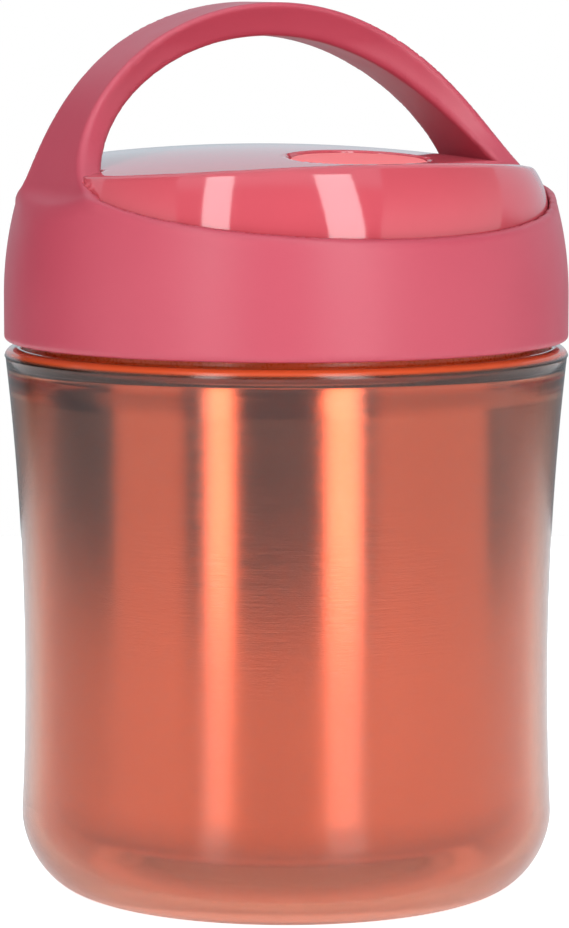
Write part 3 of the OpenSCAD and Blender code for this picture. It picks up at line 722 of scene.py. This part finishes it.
# ---- Foam, plug plate and vent guide ----
# Rigid polyurethane foam is poured into the plug, the plate is spin welded on below it, and the
# guide tube runs through both to the deck.
foam, tree = new_material("rigid_foam")
shader(tree, Roughness=0.95)
bubbles = grain(tree, 0.6, detail=4.0)
tint(tree, bubbles, (0.86, 0.82, 0.70), 0.12)
bump(tree, bubbles, 0.2)
finish_node("lid_insulation", foam)
for name in ("plug_plate", "vent_guide"):
    finish_node(name, cup_plastic)

# ---- Collar with carrying handle ----
# One injection moulding in matte rose plastic: a collar that swoops down at the front and back,
# and from its two ears a broad arch that leans back. Every edge is rounded in the mould.
COLLAR_R = shell_r(SHELL_H)
COLLAR_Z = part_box("handle_collar")[0][2] / MM
ARCH_TOP_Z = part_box("handle_collar")[1][2] / MM - TRIM
COLLAR_IN_R = COLLAR_R - 3
CURVE_Z = COLLAR_Z + 8.2
CURVE_R = 65
SWOOP_Z = COLLAR_Z + 20.6
EAR_Y = 16
EAR_Z = COLLAR_Z + 29
LEAN_Y = 1.6
LEAN_Z = EAR_Z + 20.2
ARCH_R = COLLAR_R - 3.5
ARCH_Z = COLLAR_Z + 13.2
ARCH_IN_R = ARCH_R - 2.7
ARCH_IN_Z = ARCH_TOP_Z - 6.2 - ARCH_IN_R
ARCH_FRONT_Y = 3.3
ARCH_BACK_Y = 21.5
LEG_BACK_Y = 18.5
COVER_GAP = 0.12
COVER_R = 48.35
COVER_SEAT_R = COVER_R + COVER_GAP
COVER_CURVE_Z = SWOOP_Z + 2
COVER_CURVE_R = 15
VENT_Y = 29.4
GUIDE_HOLE_R = 3.88
REACH = COLLAR_R + 8
EDGE_BOTTOM = 0.9           # rounding of the collar's bottom edge
EDGE_OUTER = 0.9            # rounding of the rim's outer edge
EDGE_HANDLE = 1.2           # rounding of the handle's outer edges
EDGE_LIP = 0.45             # rounding of the rim's inner edge
EDGE_INNER = 1.0            # rounding of the handle's inner edges
EDGE_FOOT = 1.5             # width over which the ear's flare runs into the collar
HANDLE_RISE = 8             # height over which the rim's edges become the handle's
FRONT_DRAFT = (0.25, 0.85)  # how far the handle's front slants back inwards, at the legs and top
DRAFT_RISE = (7, 18)        # where above the ears the slant grows, and over what height
DRAFT_DEPTH = 7             # depth from the arch's outside at which the slant ends
LEG_CUT = 2                 # how far the cut under the arch runs past the legs
CELL = 0.7                  # spacing of the points that the surface is found on
COLLAR_GRID = ((-54, -54, COLLAR_Z - 1.3), (54, 54, ARCH_TOP_Z + 1.3))
COLLAR_ROSE = (0.47, 0.060, 0.096)


def outline_distance(outline, u, v):
    """Signed distance of the points (u, v) to a closed outline, negative inside."""
    nearest = np.full(u.shape, 1e9)
    inside = np.zeros(u.shape, bool)
    for (ax, ay), (bx, by) in zip(outline, outline[1:] + outline[:1]):
        ex, ey = bx - ax, by - ay
        length = ex * ex + ey * ey
        if length < 1e-12:
            continue
        t = np.clip(((u - ax) * ex + (v - ay) * ey) / length, 0, 1)
        nearest = np.minimum(nearest, (u - ax - t * ex) ** 2 + (v - ay - t * ey) ** 2)
        if ay != by:
            inside ^= ((ay > v) != (by > v)) & (u < ex * (v - ay) / ey + ax)
    return np.sqrt(nearest) * np.where(inside, -1, 1)


def both(a, b, radius):
    """Where two solids overlap, with the edge between them rounded."""
    corner = np.hypot(np.maximum(radius + a, 0), np.maximum(radius + b, 0))
    return np.minimum(-radius, np.maximum(a, b)) + corner


def blend_both(a, b, width):
    """Where two solids overlap, with their surfaces run softly into each other."""
    return np.maximum(a, b) + np.maximum(width - np.abs(a - b), 0) ** 2 / (4 * width)


ear = (-EAR_Y, EAR_Z - 1.2)
lean = (LEAN_Y, LEAN_Z)
arch_top = (ARCH_FRONT_Y, ARCH_TOP_Z + 1)
back_ear = (LEG_BACK_Y + 2.5, EAR_Z - 3.8)
leg_front = cubic(ear, (ear[0] + 9.5, ear[1] + 2.4), (lean[0] - 2.4, lean[1] - 10), lean, 16)
side_outline = [(REACH, COLLAR_Z - 5), (-REACH, COLLAR_Z - 5), (-REACH, SWOOP_Z - 1.2)]
side_outline += cubic((-REACH, SWOOP_Z - 1.2), (12 - COLLAR_R, SWOOP_Z + 1.9), (-COLLAR_R / 2, SWOOP_Z + 4.1),
                      ear, 20)
side_outline += leg_front
side_outline += cubic(lean, (lean[0] + 0.9, lean[1] + 4), (arch_top[0], arch_top[1] - 8), arch_top, 12)
side_outline += [(ARCH_FRONT_Y, ARCH_TOP_Z + 5), (ARCH_BACK_Y, ARCH_TOP_Z + 5), (ARCH_BACK_Y, arch_top[1])]
side_outline += cubic((ARCH_BACK_Y, arch_top[1]), (ARCH_BACK_Y - 3, arch_top[1] - 8),
                      (LEG_BACK_Y - 3.9, EAR_Z + 10), (LEG_BACK_Y - 3, EAR_Z + 2), 16)
side_outline += cubic((LEG_BACK_Y - 3, EAR_Z + 2), (LEG_BACK_Y - 2.6, EAR_Z - 1),
                      (back_ear[0] - 2.5, back_ear[1] + 1), back_ear, 12)
side_outline += cubic(back_ear, (back_ear[0] + 10, back_ear[1] - 2.4), (REACH - 14, SWOOP_Z + 0.6),
                      (REACH, SWOOP_Z), 16)
leg_outline = [(-EAR_Y, COLLAR_Z), ear] + leg_front + [(LEG_BACK_Y, LEAN_Z), (LEG_BACK_Y, COLLAR_Z)]

flare_z = EAR_Z - 0.5
flare_x = math.sqrt(ARCH_R ** 2 - (flare_z - ARCH_Z) ** 2)
rim_z = EAR_Z - 4
rim_r = COLLAR_R - CURVE_R + math.sqrt(CURVE_R ** 2 - (rim_z - CURVE_Z) ** 2)
front_outline = [(-5, COLLAR_Z - 5), (COLLAR_R + 4, COLLAR_Z - 5), (COLLAR_R + 4, EAR_Z - 11),
                 (rim_r + 0.8, EAR_Z - 5.2)]
front_outline += cubic((rim_r + 0.8, EAR_Z - 5.2), (rim_r - 0.4, EAR_Z - 3.5), (flare_x + 0.9, flare_z - 1.6),
                       (flare_x, flare_z), 16)
flare_angle = math.degrees(math.asin((flare_z - ARCH_Z) / ARCH_R))
front_outline += arc(0, ARCH_Z, ARCH_R, flare_angle, 90, 60)[1:]
front_outline += [(-5, ARCH_TOP_Z)]


def collar_distance(x, y, z):
    """Signed distance of points to the collar's and handle's surface, negative inside."""
    r = np.hypot(x, y)
    bend = np.clip(z, CURVE_Z, rim_z) - CURVE_Z
    outer_wall = r - (COLLAR_R - CURVE_R + np.sqrt(CURVE_R ** 2 - bend ** 2))
    envelope = both(outer_wall, COLLAR_Z - z, EDGE_BOTTOM)
    envelope = blend_both(envelope, outline_distance(front_outline, np.abs(x), z), EDGE_FOOT)
    up = np.clip((z - EAR_Z) / HANDLE_RISE, 0, 1)
    high = np.clip((z - EAR_Z - DRAFT_RISE[0]) / DRAFT_RISE[1], 0, 1)
    draft = (FRONT_DRAFT[0] + (FRONT_DRAFT[1] - FRONT_DRAFT[0]) * high) * up
    depth = np.clip(ARCH_R - np.hypot(x, z - ARCH_Z), 0, DRAFT_DEPTH)
    nearness = np.clip((ARCH_BACK_Y - y) / (ARCH_BACK_Y - ARCH_FRONT_Y), 0, 1)
    side = outline_distance(side_outline, y - draft * depth * nearness, z)
    solid = both(envelope, side, EDGE_OUTER + (EDGE_HANDLE - EDGE_OUTER) * up)
    above_deck = DECK_Z - z
    legs = np.maximum(-EAR_Y - y, y - LEG_BACK_Y)
    cover_bend = np.clip(z - COVER_CURVE_Z, 0, COVER_CURVE_R)
    cover_wall = r - (COVER_SEAT_R - COVER_CURVE_R + np.sqrt(COVER_CURVE_R ** 2 - cover_bend ** 2))
    cover_seat = np.maximum(np.maximum(cover_wall, above_deck), -legs)
    solid = both(solid, -cover_seat, EDGE_LIP)
    tunnel = np.maximum(np.hypot(x, z - ARCH_IN_Z) - ARCH_IN_R, above_deck)
    tunnel = np.maximum(tunnel, np.maximum(-EAR_Y - LEG_CUT - y, y - LEG_BACK_Y - LEG_CUT))
    solid = both(solid, -tunnel, EDGE_INNER)
    bore = np.maximum(r - COLLAR_IN_R, z - DECK_Z + DECK_T)
    solid = both(solid, -bore, EDGE_LIP)
    return np.maximum(solid, GUIDE_HOLE_R - np.hypot(x, y + VENT_Y))


def surface_of(distance, low, high, cell):
    """Points and four-sided faces of the surface where distance is zero, found on a grid."""
    axes = [np.arange(a, b + cell, cell) for a, b in zip(low, high)]
    values = distance(*np.meshgrid(*axes, indexing="ij"))
    inside = values < 0
    shape = [len(a) - 1 for a in axes]
    total = np.zeros(shape + [3])
    count = np.zeros(shape)
    corners = [(i, j, k) for i in (0, 1) for j in (0, 1) for k in (0, 1)]

    def part(array, c):
        """The array's values at corner c of every cell."""
        return array[c[0]:shape[0] + c[0], c[1]:shape[1] + c[1], c[2]:shape[2] + c[2]]

    for axis in range(3):
        for c in (c for c in corners if c[axis] == 0):
            d = tuple(v + (i == axis) for i, v in enumerate(c))
            a, b = part(values, c), part(values, d)
            cut = part(inside, c) != part(inside, d)
            t = np.where(cut, a / np.where(cut, a - b, 1), 0)
            at = np.array(c, float)[None, None, None, :] + t[..., None] * np.eye(3)[axis]
            total += at * cut[..., None]
            count += cut
    used = count > 0
    number = np.full(shape, -1)
    number[used] = np.arange(used.sum())
    cells = np.argwhere(used)
    points = (cells + total[used] / count[used][:, None]) * cell + np.array([a[0] for a in axes])
    faces = []
    for axis in range(3):
        u, v = (axis + 1) % 3, (axis + 2) % 3
        core = [slice(1, -1)] * 3
        core[axis] = slice(0, -1)
        ahead = list(core)
        ahead[axis] = slice(1, None)
        here, there = inside[tuple(core)], inside[tuple(ahead)]
        where = np.argwhere(here != there)
        outward = here[tuple(where.T)]
        where = where + np.array([0 if i == axis else 1 for i in range(3)])
        ring = []
        for du, dv in ((-1, -1), (0, -1), (0, 0), (-1, 0)):
            step = np.zeros(3, int)
            step[u], step[v] = du, dv
            ring.append(number[tuple((where + step).T)])
        quads = np.stack(ring, 1)
        quads[~outward] = quads[~outward][:, ::-1]
        faces.append(quads)
    return points, np.concatenate(faces)


def settle(distance, points, faces, rounds=3):
    """Evens the points out and puts them back on the surface."""
    nudge = 0.02
    least_slope = 0.2
    ends = np.concatenate([faces[:, [0, 1]], faces[:, [1, 2]], faces[:, [2, 3]], faces[:, [3, 0]]])
    for turn in range(rounds):
        for step in range(2 if turn else 3):
            value = distance(*points.T)
            slope = np.stack([distance(*(points + nudge * e).T) - value for e in np.eye(3)], 1) / nudge
            points = points - slope * (value / np.maximum((slope ** 2).sum(1), least_slope))[:, None]
        if turn < rounds - 1:
            middle = np.zeros_like(points)
            shares = np.zeros(len(points))
            np.add.at(middle, ends[:, 0], points[ends[:, 1]])
            np.add.at(middle, ends[:, 1], points[ends[:, 0]])
            np.add.at(shares, ends.ravel(), 1)
            points = 0.5 * points + 0.5 * middle / shares[:, None]
    return points


def moulded(name, colour, roughness, fine_mm, depth_mm, **sockets):
    """Moulded plastic whose skin has the tool's spark-eroded or polished texture."""
    made, tree = new_material(name)
    skin = shader(tree, **sockets)
    cloud = grain(tree, 9)
    tint(tree, cloud, colour, 0.02)
    tree.links.new(spread(tree, cloud, roughness * 0.94, roughness * 1.06), skin.inputs["Roughness"])
    bump(tree, grain(tree, fine_mm, detail=3.0), depth_mm)
    return made


collar_plastic = moulded("collar_matte_rose", COLLAR_ROSE, 0.42, 0.28, 0.012)
points, faces = surface_of(collar_distance, *COLLAR_GRID, CELL)
points = settle(collar_distance, points, faces)
collar = mesh_piece("collar_with_handle", points, faces.tolist(), collar_plastic)
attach(collar, "lid")
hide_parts("handle_collar")

# ---- Cover ----
# Polished moulding glued to the deck. Its top is crowned both ways, its wall curves in to a fine
# rounded edge, and its sides are notched for the handle's legs.
CROWN_Z = COLLAR_Z + 35.55
CROWN_FALL_X = 0.0022       # drop of the crown for each square millimetre to the side
CROWN_FALL_Y = 0.00095      # the same towards the front and back
COVER_T = 2
COVER_EDGE = 0.5            # rounding of the cover's top edge
NOTCH_EDGE = 0.5            # rounding of its notches' edges
LEG_OVERLAP = 0.6           # the cover's notch edges end inside the handle's legs
BUTTON_R = 12.4
BUTTON_GAP = 0.4
HOLE_LIP = 0.35
COVER_GRID = ((-50, -50, DECK_Z - 1.1), (50, 50, CROWN_Z + 1.3))
COVER_ROSE = (0.54, 0.075, 0.10)


def crown(x, y):
    """Height of the cover's top."""
    return CROWN_Z - CROWN_FALL_X * x * x - CROWN_FALL_Y * y * y


def cover_distance(x, y, z):
    """Signed distance of points to the cover's outside, negative inside."""
    bend = np.clip(z - COVER_CURVE_Z, 0, COVER_CURVE_R - 1)
    wall_part = np.hypot(x, y) - (COVER_R - COVER_CURVE_R + np.sqrt(COVER_CURVE_R ** 2 - bend ** 2))
    leg = outline_distance(leg_outline, y, z) + LEG_OVERLAP
    tunnel = np.hypot(x, z - ARCH_IN_Z) - ARCH_IN_R + COVER_GAP
    body = both(wall_part, np.minimum(tunnel, -leg), NOTCH_EDGE)
    return both(body, z - crown(x, y), COVER_EDGE)


def hollow_cover(x, y, z):
    """The same, hollowed out from below, with the button's hole."""
    outside = cover_distance(x, y, z)
    skin_only = np.maximum(outside, -(outside + COVER_T))
    hole = BUTTON_R + BUTTON_GAP - np.hypot(x, y + VENT_Y)
    return np.maximum(both(skin_only, hole, HOLE_LIP), DECK_Z - z)


cover_plastic = moulded("cover_gloss_rose", COVER_ROSE, 0.07, 0.9, 0.001, IOR=1.6)
points, faces = surface_of(hollow_cover, *COVER_GRID, CELL)
points = settle(hollow_cover, points, faces)
cover = mesh_piece("domed_cover", points, faces.tolist(), cover_plastic)
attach(cover, "lid")
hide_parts("lid_cover")

# ---- Vent button ----
# Coral moulding with a gently rounded top that carries on the crown's slope and a softened edge.
# It presses 2.2 mm against the spring and opens the valve under the plug.
BUTTON_H = 5.6
BUTTON_WALL_T = 1.6
BUTTON_CAP_T = 3.6
BUTTON_EDGE = 0.9
BUTTON_BULGE = 0.24
BUTTON_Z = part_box("vent_button")[0][2] / MM
BUTTON_SLOPE = 2 * CROWN_FALL_Y * VENT_Y
BUTTON_CORAL = (0.98, 0.20, 0.21)
button_plastic = moulded("button_coral", BUTTON_CORAL, 0.5, 0.5, 0.002, Specular_IOR_Level=0.15)
skirt_top = BUTTON_H - BUTTON_EDGE - BUTTON_BULGE
button_outline = [(0, BUTTON_H - BUTTON_CAP_T), (BUTTON_R - BUTTON_WALL_T, BUTTON_H - BUTTON_CAP_T),
                  (BUTTON_R - BUTTON_WALL_T, 0.3), (BUTTON_R - BUTTON_WALL_T + 0.3, 0), (BUTTON_R, 0)]
button_outline += arc(BUTTON_R - BUTTON_EDGE, skirt_top, BUTTON_EDGE, 0, 84, 10)
button_outline += [(r, BUTTON_H - BUTTON_BULGE * (r / BUTTON_R) ** 2)
                   for r in [(BUTTON_R - BUTTON_EDGE) * (1 - i / 12) for i in range(13)]]
button = lathe("vent_button_cap", button_outline, button_plastic, steps=144)
for v in button.data.vertices:
    x, y, z = v.co
    lifted = max(0, z / MM - BUTTON_H + BUTTON_CAP_T) / BUTTON_CAP_T
    v.co = (x, y - VENT_Y * MM, z + (BUTTON_Z + lifted * BUTTON_SLOPE * y / MM) * MM)
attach(button, "vent")
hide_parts("vent_button")

# ---- Vent stem, spring and clip ----
# The stem is moulded in acetal and snaps into the button. The spring is coiled stainless wire that
# the button presses together, and the clip is pressed from stainless strip.
stem_acetal, tree = new_material("stem_acetal")
skin = shader(tree, Subsurface_Weight=0.2)
wear = grain(tree, 0.8, (1, 1, 0.2))
tint(tree, wear, (0.84, 0.83, 0.80), 0.03)
tree.links.new(spread(tree, wear, 0.25, 0.38), skin.inputs["Roughness"])
spring_wire = brushed("spring_wire", (0.66, 0.66, 0.68), 0.18, 0.28, 0.003, (1, 1, 1))
for name, material in (("vent_stem", stem_acetal), ("stem_clip", spring_wire)):
    finish_node(name, material)

coil = bmesh.new()
coil.from_mesh(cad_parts["vent_spring"].data)
bmesh.ops.remove_doubles(coil, verts=coil.verts, dist=0.001 * MM)
spring_mesh = bpy.data.meshes.new("vent_spring_coil")
coil.to_mesh(spring_mesh)
coil.free()
spring_mesh.polygons.foreach_set("use_smooth", [True] * len(spring_mesh.polygons))
spring_mesh.materials.clear()
spring_mesh.materials.append(spring_wire)
spring = bpy.data.objects.new("vent_spring_coil", spring_mesh)
bpy.context.scene.collection.objects.link(spring)
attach(spring, "lid")
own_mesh(spring)
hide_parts("vent_spring")
